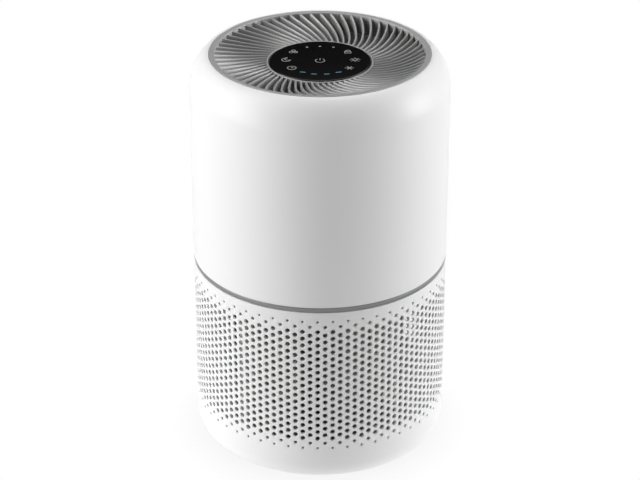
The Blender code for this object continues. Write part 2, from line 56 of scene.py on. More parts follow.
camera = bpy.data.objects.new("camera", bpy.data.cameras.new("camera"))
camera.data.lens = CAMERA_LENS
camera.data.clip_end = 50.0
camera.location = (
    0.0,
    -CAMERA_DISTANCE * math.cos(CAMERA_ELEVATION),
    CAMERA_AIM + CAMERA_DISTANCE * math.sin(CAMERA_ELEVATION),
)
camera.rotation_euler = (math.pi / 2 - CAMERA_ELEVATION, 0.0, 0.0)
bpy.context.scene.collection.objects.link(camera)
bpy.context.scene.camera = camera
bpy.context.scene.view_settings.view_transform = "Standard"
bpy.context.scene.view_settings.look = "None"


class Nodes:
    """Short calls for building a node tree."""

    def __init__(self, tree):
        self.tree = tree

    def add(self, kind, settings=(), **inputs):
        """A node with its settings and its input values or links.

        An input is named with _ for a space, or given by its number as n0, n1 and so on.
        """
        node = self.tree.nodes.new(kind)
        for key, value in dict(settings).items():
            setattr(node, key, value)
        for key, value in inputs.items():
            numbered = key[0] == "n" and key[1:].isdigit()
            self.put(node.inputs[int(key[1:]) if numbered else key.replace("_", " ")], value)
        return node

    def put(self, socket, value):
        """Links a socket to an input, or sets the input's value."""
        if isinstance(value, bpy.types.NodeSocket):
            self.tree.links.new(value, socket)
        else:
            socket.default_value = value

    def maths(self, operation, *values):
        """The result socket of a Math node."""
        node = self.tree.nodes.new("ShaderNodeMath")
        node.operation = operation
        for socket, value in zip(node.inputs, values):
            self.put(socket, value)
        return node.outputs[0]


def direction(azimuth, elevation):
    """Unit vector: azimuth 0 is the front (-Y) and 90 the right (+X), elevation above the floor."""
    a, e = math.radians(azimuth), math.radians(elevation)
    return (math.sin(a) * math.cos(e), -math.cos(a) * math.cos(e), math.sin(e))


# azimuth, elevation, tightness and strength of each soft light; the strengths are rounded
# results of a fit, apart from the last, which lights only what has come out under the floor
LIGHTS = (
    (-90, 0, 60, 9.5), (-65, 0, 60, 14.0), (-90, 25, 60, 8.9), (-65, 25, 60, 1.5), (-75, 45, 60, 7.5),
    (90, 0, 60, 20.0), (90, 8, 16, 2.7), (90, 25, 60, 2.6), (120, 42, 16, 2.0), (180, 70, 16, 2.6),
    (0, -90, 2, 1.1),
)
world = bpy.data.worlds.new("studio")
bpy.context.scene.world = world
world.use_nodes = True
world.node_tree.nodes.clear()
sky = Nodes(world.node_tree)
ray = sky.add("ShaderNodeTexCoord").outputs["Generated"]
total = 0.0
for azimuth, elevation, tightness, strength in LIGHTS:
    facing = sky.add("ShaderNodeVectorMath", {"operation": "DOT_PRODUCT"}, n0=ray,
                     n1=direction(azimuth, elevation)).outputs["Value"]
    lobe = sky.maths("POWER", sky.maths("MAXIMUM", facing, 0.0), float(tightness))
    total = sky.maths("MULTIPLY_ADD", lobe, float(strength), total)
seen = sky.add("ShaderNodeLightPath").outputs["Is Camera Ray"]
level = sky.add("ShaderNodeMix", {"data_type": "FLOAT"}, Factor=seen, A=total, B=1.0).outputs[0]
backdrop = sky.add("ShaderNodeBackground", Color=(1, 1, 1, 1), Strength=level)
sky.add("ShaderNodeOutputWorld", Surface=backdrop.outputs[0])

# The sweep glows white to the eye, a touch darker where the purifier shades it, and lights the
# drum from below, more from close by than from afar. A view from beneath passes it, so the
# underside can be looked at.
FLOOR_HALF = 6.0
FLOOR_NEAR, FLOOR_FAR = 0.92, 0.59  # light that the drum gets from the floor, from the same fit
floor_mesh = bpy.data.meshes.new("floor")
floor_mesh.from_pydata(
    [(x, y, 0.0) for x, y in ((-1, -1), (1, -1), (1, 1), (-1, 1))], [], [(0, 1, 2, 3)]
)
floor_mesh.transform(Matrix.Scale(FLOOR_HALF, 4))
floor = bpy.data.objects.new("floor", floor_mesh)
bpy.context.scene.collection.objects.link(floor)
sweep = bpy.data.materials.new("sweep")
sweep.use_nodes = True
sweep.node_tree.nodes.clear()
paint = Nodes(sweep.node_tree)
shade = paint.add("ShaderNodeAmbientOcclusion", {"samples": 8}, Distance=0.03).outputs["AO"]
seen_level = paint.add("ShaderNodeMapRange", Value=shade, n3=0.9, n4=1.0).outputs[0]
place = paint.add("ShaderNodeTexCoord").outputs["Object"]
away = paint.add("ShaderNodeVectorMath", {"operation": "LENGTH"}, n0=place).outputs["Value"]
cast_level = paint.add("ShaderNodeMapRange", {"interpolation_type": "SMOOTHSTEP"}, Value=away,
                       n1=0.1, n2=0.45, n3=FLOOR_NEAR, n4=FLOOR_FAR).outputs[0]
path = paint.add("ShaderNodeLightPath").outputs["Is Camera Ray"]
level = paint.add("ShaderNodeMix", {"data_type": "FLOAT"}, Factor=path, A=cast_level, B=seen_level)
glow = paint.add("ShaderNodeEmission", Color=(1, 1, 1, 1), Strength=level.outputs[0])
clear = paint.add("ShaderNodeBsdfTransparent", Color=(1, 1, 1, 1))
beneath = paint.add("ShaderNodeNewGeometry").outputs["Backfacing"]
mixed = paint.add("ShaderNodeMixShader", n0=beneath, n1=glow.outputs[0], n2=clear.outputs[0])
paint.add("ShaderNodeOutputMaterial", Surface=mixed.outputs[0])
floor_mesh.materials.append(sweep)

# ======================================================================================
# Upper housing: one white ABS moulding, a straight drum that rounds over into the grille's
# seat. Its surface is a fine satin spark-eroded grain; the mould leaves it almost even.
# ======================================================================================
MM = 0.001


def grain_group():
    """Moulded surface: a fine even grain and a slow cloud of shade, from Object coordinates."""
    group = bpy.data.node_groups.new("moulded_grain", "ShaderNodeTree")
    sockets = group.interface
    for name, value in (("Scale", 1800.0), ("Cloud Scale", 9.0), ("Cloud", 0.02), ("Polish", 0.05)):
        socket = sockets.new_socket(name, in_out="INPUT", socket_type="NodeSocketFloat")
        socket.default_value = value
    for name in ("Roughness", "Gloss"):
        sockets.new_socket(name, in_out="INPUT", socket_type="NodeSocketFloat")
    sockets.new_socket("Colour", in_out="INPUT", socket_type="NodeSocketColor")
    sockets.new_socket("Colour", in_out="OUTPUT", socket_type="NodeSocketColor")
    sockets.new_socket("Roughness", in_out="OUTPUT", socket_type="NodeSocketFloat")
    sockets.new_socket("Height", in_out="OUTPUT", socket_type="NodeSocketFloat")
    made = Nodes(group)
    given = made.add("NodeGroupInput").outputs
    place = made.add("ShaderNodeTexCoord").outputs["Object"]
    fine = made.add("ShaderNodeTexNoise", Vector=place, Scale=given["Scale"], Detail=3.0,
                    Roughness=0.6).outputs["Fac"]
    cloud = made.add("ShaderNodeTexNoise", Vector=place, Scale=given["Cloud Scale"], Detail=4.0,
                     Roughness=0.55).outputs["Fac"]
    swing = made.maths("SUBTRACT", cloud, 0.5)
    speck = made.maths("SUBTRACT", fine, 0.5)
    darker = made.maths("MULTIPLY_ADD", swing, given["Cloud"], 1.0)
    darker = made.maths("MULTIPLY_ADD", speck, made.maths("MULTIPLY", given["Cloud"], 1.5), darker)
    tinted = made.add("ShaderNodeVectorMath", {"operation": "SCALE"}, n0=given["Colour"], Scale=darker)
    rough = made.maths("MULTIPLY_ADD", swing, given["Polish"], given["Roughness"])
    rough = made.maths("MULTIPLY_ADD", speck, given["Polish"], rough)
    made.add("NodeGroupOutput", Colour=tinted.outputs[0], Roughness=rough, Height=fine)
    return group


GRAIN = grain_group()


def moulded(name, colour, roughness, metallic=0.0, scale=1800.0, depth=0.00002, cloud=0.03,
            polish=0.08, cloud_scale=9.0, **sockets):
    """A satin moulding or paint: colour and roughness vary a little, grain raises the surface."""
    look = bpy.data.materials.new(name)
    look.use_nodes = True
    work = Nodes(look.node_tree)
    shader = look.node_tree.nodes["Principled BSDF"]
    grain = work.add("ShaderNodeGroup", {"node_tree": GRAIN}, Scale=scale, Cloud=cloud, Polish=polish,
                     Cloud_Scale=cloud_scale, Roughness=roughness, Colour=(*colour, 1.0))
    bump = work.add("ShaderNodeBump", Strength=0.35, Distance=depth, Height=grain.outputs["Height"])
    work.put(shader.inputs["Base Color"], grain.outputs["Colour"])
    work.put(shader.inputs["Roughness"], grain.outputs["Roughness"])
    work.put(shader.inputs["Normal"], bump.outputs[0])
    shader.inputs["Metallic"].default_value = metallic
    for key, value in sockets.items():
        shader.inputs[key.replace("_", " ")].default_value = value
    return look


def mesh_piece(name, points, face_sets, look, sharp=34.0):
    """A mesh object from points in millimetres and arrays of faces, one array per face size."""
    mesh = bpy.data.meshes.new(name)
    corners = np.concatenate([faces.ravel() for faces in face_sets]).astype(np.int32)
    counts = np.concatenate([np.full(len(f), f.shape[1]) for f in face_sets])
    starts = np.concatenate([[0], np.cumsum(counts)[:-1]]).astype(np.int32)
    mesh.vertices.add(len(points))
    mesh.vertices.foreach_set("co", (np.asarray(points, float) * MM).astype(np.float32).ravel())
    mesh.loops.add(len(corners))
    mesh.loops.foreach_set("vertex_index", corners)
    mesh.polygons.add(len(starts))
    mesh.polygons.foreach_set("loop_start", starts)
    mesh.update(calc_edges=True)
    shape = bmesh.new()
    shape.from_mesh(mesh)
    bmesh.ops.remove_doubles(shape, verts=shape.verts, dist=2e-6)
    bmesh.ops.recalc_face_normals(shape, faces=shape.faces)
    shape.to_mesh(mesh)
    shape.free()
    mesh.shade_smooth()
    mesh.set_sharp_from_angle(angle=math.radians(sharp))
    mesh.materials.append(look)
    piece = bpy.data.objects.new(name, mesh)
    bpy.context.scene.collection.objects.link(piece)
    return piece


def stand_for(piece, body, slot, *replaced):
    """The piece rides on a body and stands for CAD nodes. The slot argument is not used."""
    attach(piece, body)
    if replaced:
        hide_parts(*replaced)
    return piece


def extent(node):
    """Outer radius, lowest and highest point of a round CAD node, in millimetres."""
    low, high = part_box(node)
    return high.x / MM, low.z / MM, high.z / MM


def rounded(corners, steps=5):
    """Outline through corners (r, z, fillet): each corner becomes an arc of its fillet's radius.

    The arc starts and ends at fillet / tan(half the corner's angle) along the two sides.
    """
    outline = []
    places = np.array([c[:2] for c in corners], float)
    for i, corner in enumerate(corners):
        here, fillet = places[i], corner[2] if len(corner) > 2 else 0.0
        if fillet <= 0.0:
            outline.append(here[None])
            continue
        back, ahead = places[i - 1] - here, places[(i + 1) % len(corners)] - here
        back, ahead = back / np.linalg.norm(back), ahead / np.linalg.norm(ahead)
        half = 0.5 * math.acos(float(np.clip(back @ ahead, -1, 1)))
        middle = (back + ahead) / np.linalg.norm(back + ahead)
        centre = here + middle * fillet / math.sin(half)
        first, last = here + back * fillet / math.tan(half), here + ahead * fillet / math.tan(half)
        a, b = first - centre, last - centre
        turn = math.acos(float(np.clip(a @ b / fillet ** 2, -1, 1)))
        side = np.sign(a[0] * b[1] - a[1] * b[0])
        angles = side * turn * np.linspace(0, 1, steps + 1)
        spin = np.stack([a[0] * np.cos(angles) - a[1] * np.sin(angles),
                         a[0] * np.sin(angles) + a[1] * np.cos(angles)], 1)
        outline.append(centre + spin)
    return np.concatenate(outline)


def turned(outline, segments):
    """Points and faces of an outline (r, z) turned about the axis.

    point(i, j) = (r_j cos(2 pi i / n), r_j sin(2 pi i / n), z_j); an outline whose first point is
    on the axis is open and ends there, any other is a closed ring.
    """
    turn = 2 * np.pi * np.arange(segments) / segments
    r, z = outline[:, 0], outline[:, 1]
    points = np.stack([np.outer(np.cos(turn), r), np.outer(np.sin(turn), r),
                       np.tile(z, (segments, 1))], -1).reshape(-1, 3)
    count = len(outline)
    j = np.arange(count - 1 if r[0] == 0.0 else count)
    i = np.arange(segments)[:, None]
    after, up = (i + 1) % segments, (j + 1) % count
    quads = np.stack([i * count + j, after * count + j, after * count + up, i * count + up], -1)
    return points, [quads.reshape(-1, 4)]


def crest(inner, size, power, steps):
    """Quarter superellipse: r = a + b cos(t)^(2/p), z = c + d sin(t)^(2/p), t from 0 to 90 degrees."""
    t = np.linspace(0, np.pi / 2, steps + 1)
    across, along = np.cos(t).clip(0) ** (2 / power), np.sin(t) ** (2 / power)
    return np.stack([inner[0] + size[0] * across, inner[1] + size[1] * along], 1)


WHITE = moulded("white_housing", (0.86, 0.862, 0.86), 0.4, depth=0.00003, cloud=0.012,
                Specular_IOR_Level=0.4)
WALL = 2.4
SHOULDER_HEIGHT, SHOULDER_POWER = 28.0, 1.62
drum_radius, upper_low, upper_high = extent("upper_housing")
rim_radius, _, grille_high = extent("top_grille")
SEAT_GAP = 0.3  # between the grille's rim and its seat
seat = rim_radius + SEAT_GAP
LEDGE_INNER, LEDGE_TOP, LEDGE_BOTTOM = 90.0, 351.4, 349.2
foot_of_shoulder = upper_high - SHOULDER_HEIGHT
outer = crest((seat + 0.6, foot_of_shoulder), (drum_radius - seat - 0.6, SHOULDER_HEIGHT),
              SHOULDER_POWER, 28)
inner = crest((seat - WALL, foot_of_shoulder), (drum_radius - seat, SHOULDER_HEIGHT - WALL),
              SHOULDER_POWER, 24)
inner = inner[inner[:, 1] < LEDGE_BOTTOM - 0.5][::-1]
upper_outline = np.concatenate([
    rounded([(drum_radius - WALL, upper_low), (drum_radius, upper_low, 0.45),
             (drum_radius, foot_of_shoulder)])[:-1],
    outer[:-1],
    rounded([(seat + 3.0, upper_high), (seat, upper_high, 0.4), (seat, LEDGE_TOP),
             (LEDGE_INNER, LEDGE_TOP, 0.3), (LEDGE_INNER, LEDGE_BOTTOM, 0.3),
             (inner[0, 0] - 1.0, LEDGE_BOTTOM)])[1:],
    inner,
])
points, faces = turned(upper_outline, 256)
stand_for(mesh_piece("upper_shell", points, faces, WHITE), "housing", "white_housing",
          "upper_housing")

# ======================================================================================
# Trim ring: a silver-grey painted hoop let into the joint between the two housings. Its
# edges are turned over, so a fine dark line shows above and below it.
# ======================================================================================
SILVER = moulded("silver_trim", (0.30, 0.305, 0.30), 0.34, metallic=0.55, scale=2600.0,
                 cloud=0.05, polish=0.1)
ring_radius, ring_low, ring_high = extent("trim_ring")
ring_inner = ring_radius - 1.8
ring_outline = rounded([
    (ring_inner, ring_low), (ring_radius - 0.5, ring_low, 0.15), (ring_radius, ring_low + 0.5, 0.3),
    (ring_radius, ring_high - 0.5, 0.3), (ring_radius - 0.5, ring_high, 0.15), (ring_inner, ring_high),
])
points, faces = turned(ring_outline, 256)
stand_for(mesh_piece("trim_hoop", points, faces, SILVER), "housing", "silver_trim", "trim_ring")

# ======================================================================================
# Lower housing: one white ABS moulding with about two thousand round intake holes in
# staggered columns. The first and last two rows of holes are smaller. The base is moulded
# in one with it and has the bayonet notches, foot pockets and screw holes.
# ======================================================================================
COLUMNS = 108
PITCH = 6.547  # between holes in a column
MIDDLE = 100.0  # height of the middle row
FULL_ROWS = 8  # full holes above and below the middle one
HOLE, SMALL_HOLE, TINY_HOLE = 2.15, 1.55, 1.1
SMALL_ROW, TINY_ROW = 57.2, 62.1  # how far the smaller holes are above and below the middle
JOINT = 62.0  # how far from the middle the last cells of neighbouring columns meet
HOLE_SIDES = 10
EDGE_EASE = 0.22  # size of the eased edge round each hole
FIRST_COLUMN = -91.0  # degrees from +X
PLAIN_TOP, PLAIN_BOTTOM = 166.0, 34.0
THIN_WALL = 1.6  # where the holes are
BASE_CORNER, BASE_POWER, BASE_THICKNESS = 21.5, 2.2, 2.5
_, lower_low, lower_high = extent("lower_housing")


def hole_cells():
    """Rows of (odd column?, low, side, high, hole height, hole radius), one row per hole of a column.

    Each hole has a cell one pitch high. side is where the neighbouring columns' cells meet it.
    """
    rows = []
    half = PITCH / 2
    for k in range(-FULL_ROWS, FULL_ROWS + 1):
        z = MIDDLE + PITCH * k
        rows.append((0, z - half, z, z + half, z, HOLE))
    for k in range(-FULL_ROWS, FULL_ROWS):
        z = MIDDLE + PITCH * (k + 0.5)
        rows.append((1, z - half, z, z + half, z, HOLE))
    for way in (1, -1):
        even_end = MIDDLE + way * PITCH * (FULL_ROWS + 0.5)
        odd_end = MIDDLE + way * PITCH * FULL_ROWS
        joint = MIDDLE + way * JOINT
        edge = PLAIN_TOP if way > 0 else PLAIN_BOTTOM
        odd = (1, *sorted((odd_end, even_end, joint)), MIDDLE + way * SMALL_ROW, SMALL_HOLE)
        even = (0, *sorted((even_end, joint, edge)), MIDDLE + way * TINY_ROW, TINY_HOLE)
        rows += [odd, even]
    return np.array(rows)


def perforated_band():
    """Points and faces of the drum's wall between the two plain bands, without its rims.

    A cell's boundary has ten points. Rings of ten lead from it to the eased edge, the hole's
    outer rim, its inner rim and the boundary on the inner wall. Angles are in degrees.
    """
    rows = hole_cells()
    width = 360.0 / COLUMNS
    column = np.arange(COLUMNS)
    pairs = [(c, r) for r in rows for c in column[(column % 2) == int(r[0])]]
    cell = np.array([[c, *r[1:]] for c, r in pairs])
    middle = FIRST_COLUMN + width * cell[:, 0]
    low, side, high, hole_z, hole_r = cell[:, 1:].T
    # boundary, anticlockwise from the right side's middle point
    across = np.array([0.5, 0.5, 1 / 6, -1 / 6, -0.5, -0.5, -0.5, -1 / 6, 1 / 6, 0.5]) * width
    border_angle = middle[:, None] + across
    border_z = np.stack([side, high, high, high, high, side, low, low, low, low], 1)
    turn = 2 * np.pi * np.arange(HOLE_SIDES) / HOLE_SIDES

    def ring(radius, depth):
        """Circle of a radius on the wall at a depth under the surface."""
        r = drum_radius - depth
        angle = middle[:, None] + np.degrees(radius[:, None] * np.cos(turn) / drum_radius)
        z = hole_z[:, None] + radius[:, None] * np.sin(turn)
        return angle, z, np.full_like(z, r)

    ease = np.minimum(EDGE_EASE, 0.25 * hole_r)
    rings = [
        (border_angle, border_z, np.full_like(border_z, drum_radius)),
        ring(hole_r + ease, 0.0),
        ring(hole_r + 0.3 * ease, 0.3 * EDGE_EASE),
        ring(hole_r * 0.96, THIN_WALL),
        (border_angle, border_z, np.full_like(border_z, drum_radius - THIN_WALL)),
    ]
    stack = np.stack([np.stack(ring_values, -1) for ring_values in rings], 1)
    angle, z, r = np.radians(stack[..., 0]), stack[..., 1], stack[..., 2]
    points = np.stack([r * np.cos(angle), r * np.sin(angle), z], -1).reshape(-1, 3)
    base = (np.arange(len(cell)) * 5 * HOLE_SIDES)[:, None, None]
    level = np.arange(4)[:, None] * HOLE_SIDES
    k = np.arange(HOLE_SIDES)
    after = (k + 1) % HOLE_SIDES
    quads = np.stack([base + level + k, base + level + after,
                      base + level + HOLE_SIDES + after, base + level + HOLE_SIDES + k], -1)
    return points, quads.reshape(-1, 4)


def rim_angles():
    """The angles of the cells' corner and edge points around the drum, in degrees."""
    width = 360.0 / COLUMNS
    return FIRST_COLUMN + width * (np.arange(3 * COLUMNS) / 3 - 0.5)


def plain_strip(outline):
    """Points and faces of an open outline (r, z) swept round the drum through the rim angles."""
    angle = np.radians(rim_angles())
    r, z = outline[:, 0], outline[:, 1]
    points = np.stack([np.outer(np.cos(angle), r), np.outer(np.sin(angle), r),
                       np.tile(z, (len(angle), 1))], -1).reshape(-1, 3)
    count = len(outline)
    i, j = np.arange(len(angle))[:, None], np.arange(count - 1)
    after = (i + 1) % len(angle)
    quads = np.stack([i * count + j, after * count + j, after * count + j + 1, i * count + j + 1], -1)
    return points, quads.reshape(-1, 4)


def odd_fill(low, high, radius):
    """The plain patches over the odd columns between two heights, at one radius."""
    width = 360.0 / COLUMNS
    column = np.arange(1, COLUMNS, 2)
    across = np.array([-0.5, -1 / 6, 1 / 6, 0.5]) * width
    angle = np.radians(FIRST_COLUMN + width * column[:, None] + across)
    points = np.stack([np.stack([radius * np.cos(angle), radius * np.sin(angle),
                                 np.full_like(angle, z)], -1) for z in (low, high)], 1)
    base = (np.arange(len(column)) * 8)[:, None]
    k = np.arange(3)
    quads = np.stack([base + k, base + k + 1, base + k + 5, base + k + 4], -1)
    return points.reshape(-1, 3), quads.reshape(-1, 4)


opening = 81.0
flat = drum_radius - BASE_CORNER
base_top = lower_low + BASE_THICKNESS
inner_radius, thin_radius = drum_radius - WALL, drum_radius - THIN_WALL
outer_corner = crest((flat, lower_low + BASE_CORNER), (BASE_CORNER, -BASE_CORNER), BASE_POWER, 12)
inner_corner = crest((flat, lower_low + BASE_CORNER), (BASE_CORNER - WALL, BASE_THICKNESS - BASE_CORNER),
                     BASE_POWER, 9)
top_lip = np.concatenate([
    [[drum_radius, PLAIN_TOP]],
    rounded([(drum_radius, PLAIN_TOP), (drum_radius, lower_high, 0.45), (inner_radius, lower_high, 0.3),
             (inner_radius, PLAIN_TOP)], 4)[1:-1],
    [[inner_radius, PLAIN_TOP + 1.0], [thin_radius, PLAIN_TOP]],
])
under = np.concatenate([
    [[drum_radius, PLAIN_BOTTOM]], outer_corner,
    rounded([(flat, lower_low), (opening, lower_low, 0.5), (opening, base_top, 0.3),
             (flat, base_top)], 4)[1:-1],
    inner_corner[::-1], [[inner_radius, PLAIN_BOTTOM - 1.0], [thin_radius, PLAIN_BOTTOM]],
])
parts = [perforated_band(), plain_strip(top_lip), plain_strip(under)]
joint_up, joint_down = MIDDLE + JOINT, MIDDLE - JOINT
for radius in (drum_radius, thin_radius):
    parts += [odd_fill(joint_up, PLAIN_TOP, radius), odd_fill(PLAIN_BOTTOM, joint_down, radius)]
offsets = np.cumsum([0] + [len(p) for p, _ in parts])
points = np.concatenate([p for p, _ in parts])
quads = np.concatenate([q + offset for (_, q), offset in zip(parts, offsets)])
lower_shell = mesh_piece("lower_shell", points, [quads], WHITE)


def arc_block(inner, outer, low, high, start, end, steps=16):
    """A block bent round the axis: a rectangle in (r, z) carried from one angle to another."""
    angle = np.radians(np.linspace(start, end, steps + 1))
    r, z = np.array([inner, outer, outer, inner]), np.array([low, low, high, high])
    points = np.stack([np.outer(np.cos(angle), r), np.outer(np.sin(angle), r),
                       np.tile(z, (steps + 1, 1))], -1)
    return closed_run(points)


def closed_run(sections):
    """Points and faces that join sections (stations, corners, 3) and cap both ends."""
    stations, corners = sections.shape[:2]
    i, k = np.arange(stations - 1)[:, None], np.arange(corners)
    after = (k + 1) % corners
    quads = np.stack([i * corners + k, i * corners + after,
                      (i + 1) * corners + after, (i + 1) * corners + k], -1).reshape(-1, 4)
    caps = np.stack([k, (stations - 1) * corners + k])
    return sections.reshape(-1, 3), [quads, caps]


def gather(shapes):
    """One list of points and faces from several, each (points, list of face arrays)."""
    offsets = np.cumsum([0] + [len(p) for p, _ in shapes])
    points = np.concatenate([p for p, _ in shapes])
    sizes = {}
    for (_, sets), offset in zip(shapes, offsets):
        for faces in sets:
            sizes.setdefault(faces.shape[1], []).append(faces + offset)
    return points, [np.concatenate(found) for found in sizes.values()]


def rod(centre, rings, sides=24):
    """Points and faces of an upright stepped rod through rings of (radius, height)."""
    turn = 2 * np.pi * np.arange(sides) / sides
    rings = np.array(rings, float)
    sections = np.stack([centre[0] + np.outer(rings[:, 0], np.cos(turn)),
                         centre[1] + np.outer(rings[:, 0], np.sin(turn)),
                         np.tile(rings[:, 1:], (1, sides))], -1)
    return closed_run(sections)


def carve(piece, shapes):
    """Cuts closed shapes out of a piece for good."""
    tool = mesh_piece("tool", *gather(shapes), WHITE)
    step = piece.modifiers.new("cut", "BOOLEAN")
    step.object, step.solver, step.operation = tool, "EXACT", "DIFFERENCE"
    bpy.context.view_layer.update()
    cut = bpy.data.meshes.new_from_object(piece.evaluated_get(bpy.context.evaluated_depsgraph_get()))
    piece.modifiers.clear()
    piece.data = cut
    cut.shade_smooth()
    cut.set_sharp_from_angle(angle=math.radians(34))
    bpy.data.objects.remove(tool)


QUARTERS = np.arange(4) * 90.0
LOCK_ANGLE, TWIST, NOTCH = 30.0, 20.0, 16.0
FOOT_INNER, FOOT_OUTER, FOOT_HALF = 83.4, 88.4, 12.5
SCREW_CIRCLE, SCREW_HEAD, SCREW_POCKET, SCREW_HOLE = 91.0, 3.0, 3.4, 1.9
INLET_HEIGHT, INLET_HOLE = 30.0, 6.8
cuts = []
for quarter in QUARTERS:
    notch = quarter + LOCK_ANGLE + TWIST
    cuts.append(arc_block(opening - 3, opening + 3.4, -2, base_top + 2,
                          notch - NOTCH / 2, notch + NOTCH / 2))
    cuts.append(arc_block(FOOT_INNER - 0.3, FOOT_OUTER + 0.3, -2, lower_low + 1.0,
                          quarter - FOOT_HALF - 0.5, quarter + FOOT_HALF + 0.5))
    between = math.radians(quarter + 45)
    cuts.append(rod((SCREW_CIRCLE * math.cos(between), SCREW_CIRCLE * math.sin(between)), [
        (SCREW_POCKET, -1), (SCREW_POCKET, lower_low + 1.2),
        (SCREW_HOLE, lower_low + 1.2), (SCREW_HOLE, base_top + 1.2),
    ]))


def to_back_wall(points):
    """Turns points made about the upright axis to lie about the inlet's axis, which runs along y."""
    return np.stack([points[:, 0], points[:, 2], INLET_HEIGHT - points[:, 1]], 1)


points, faces = rod((0, 0), [(INLET_HOLE, drum_radius - 8), (INLET_HOLE, drum_radius + 4)], 40)
cuts.append((to_back_wall(points), faces))
carve(lower_shell, cuts)
stand_for(lower_shell, "housing", "white_housing", "lower_housing")

# ======================================================================================
# Top grille: a grey pearl moulding. A rim with a gently sloping top and a steep inner wall, a
# hub ring round the control panel, and 62 upright vanes, thin at the crest, that sweep
# anticlockwise as they run outwards and rise with the bowl to meet the rim.
# ======================================================================================
GREY = moulded("grey_grille", (0.44, 0.443, 0.44), 0.5, metallic=0.45, scale=2200.0, cloud=0.04)
VANES = 62
# half the vane's width at each depth under its crest, from its foot upwards
VANE_FLANK = ((1.25, 6.9), (1.0, 2.6), (0.84, 1.0), (0.6, 0.3), (0.25, 0.0))
VANE_START, VANE_END, VANE_SWEEP = 44.6, 88.9, 0.45
BOWL_LOW, BOWL_RISE, BOWL_POWER = 351.3, 8.1, 2.2
HUB_INNER, HUB_OUTER, HUB_LOW, HUB_TOP = 43.4, 45.0, 338.0, 351.5
RIM_EDGE, RIM_INNER, RIM_SKIRT = 88.5, 88.2, 89.7  # radii
RIM_LOW, RIM_BEND, RIM_FLANGE = 343.5, 351.5, 351.7  # heights


def spiral_vanes():
    """All vanes at once, each a section carried outwards along a spiral.

    angle(r) = sweep x (r - start); top(r) = low + rise x ((r - start) / start)^power. The section
    is an upright blade, thin at its crest and thicker below, whose width is measured square to
    the spiral: across the radius it is wider by 1 / cos(slant).
    """
    r = np.linspace(VANE_START, VANE_END, 26)
    angle = np.radians(VANE_SWEEP) * (r - VANE_START)
    slant = np.arctan(r * np.radians(VANE_SWEEP))
    top = BOWL_LOW + BOWL_RISE * ((r - VANE_START) / VANE_START) ** BOWL_POWER
    half, fall = np.array(VANE_FLANK).T
    across = np.concatenate([-half[:1], half, -half[:0:-1]])
    down = np.concatenate([fall[:1], fall, fall[:0:-1]])
    side = across / (r * np.cos(slant))[:, None]
    sections = np.stack([r[:, None] * np.cos(angle[:, None] + side),
                         r[:, None] * np.sin(angle[:, None] + side), top[:, None] - down], -1)
    points, (quads, caps) = closed_run(sections)
    turn = 2 * np.pi * np.arange(VANES) / VANES
    spun = np.stack([np.outer(np.cos(turn), points[:, 0]) - np.outer(np.sin(turn), points[:, 1]),
                     np.outer(np.sin(turn), points[:, 0]) + np.outer(np.cos(turn), points[:, 1]),
                     np.tile(points[:, 2], (VANES, 1))], -1).reshape(-1, 3)
    step = (np.arange(VANES) * len(points))[:, None, None]
    return spun, [(quads + step).reshape(-1, 4), (caps + step).reshape(-1, caps.shape[1])]


rim_outline = rounded([
    (rim_radius, RIM_FLANGE), (rim_radius, grille_high, 0.5), (RIM_EDGE, grille_high - 0.5, 0.4),
    (RIM_INNER, RIM_BEND), (RIM_INNER, RIM_LOW), (RIM_SKIRT, RIM_LOW), (RIM_SKIRT, RIM_FLANGE),
])
hub_outline = rounded([
    (HUB_INNER, HUB_LOW), (HUB_OUTER, HUB_LOW), (HUB_OUTER, HUB_TOP, 0.5), (HUB_INNER, HUB_TOP, 0.5),
])
grille = mesh_piece("spiral_grille", *gather([spiral_vanes(), turned(rim_outline, 256),
                                             turned(hub_outline, 192)]), GREY)
stand_for(grille, "housing", "grey_grille", "top_grille")

# ======================================================================================
# Control panel: a polished black cap over the touch board, with symbols that light up
# through it and four level bars along its lower edge. The symbols are plain generic ones.
# ======================================================================================
BLACK = moulded("black_panel", (0.0065, 0.006, 0.006), 0.14, scale=700.0, depth=0.000002,
                cloud=0.4, polish=0.06, cloud_scale=40.0)
panel_radius, panel_low, panel_high = extent("panel_cover")
PLATE, SKIRT_INNER = 2.0, 41.4  # the cap's thickness and the inside of its skirt
panel_outline = rounded([
    (0.0, panel_high - PLATE), (SKIRT_INNER, panel_high - PLATE), (SKIRT_INNER, panel_low),
    (panel_radius, panel_low), (panel_radius, panel_high, 1.4), (0.0, panel_high),
], 8)
points, faces = turned(panel_outline, 192)
stand_for(mesh_piece("touch_cover", points, faces, BLACK), "housing", "black_panel", "panel_cover")


def lit(name, colour, strength):
    """A lit print: it glows a little unevenly, brighter towards the lamp behind it."""
    look = bpy.data.materials.new(name)
    look.use_nodes = True
    work = Nodes(look.node_tree)
    shader = look.node_tree.nodes["Principled BSDF"]
    place = work.add("ShaderNodeTexCoord").outputs["Object"]
    cloud = work.add("ShaderNodeTexNoise", Vector=place, Scale=260.0, Detail=2.0).outputs["Fac"]
    dim, bright = [(*(c * k for c in colour), 1.0) for k in (0.75, 1.15)]
    blend = work.add("ShaderNodeMix", {"data_type": "RGBA"}, n0=cloud, n6=dim, n7=bright).outputs[2]
    work.put(shader.inputs["Emission Color"], blend)
    work.put(shader.inputs["Base Color"], blend)
    shader.inputs["Emission Strength"].default_value = strength
    shader.inputs["Roughness"].default_value = 0.3
    return look


PRINT = lit("symbol_print", (0.42, 0.43, 0.43), 0.36)
LEVEL = lit("level_light", (0.11, 0.30, 0.36), 0.7)
PRINT_RISE = 0.02
PRINT_WIDTH = 0.5


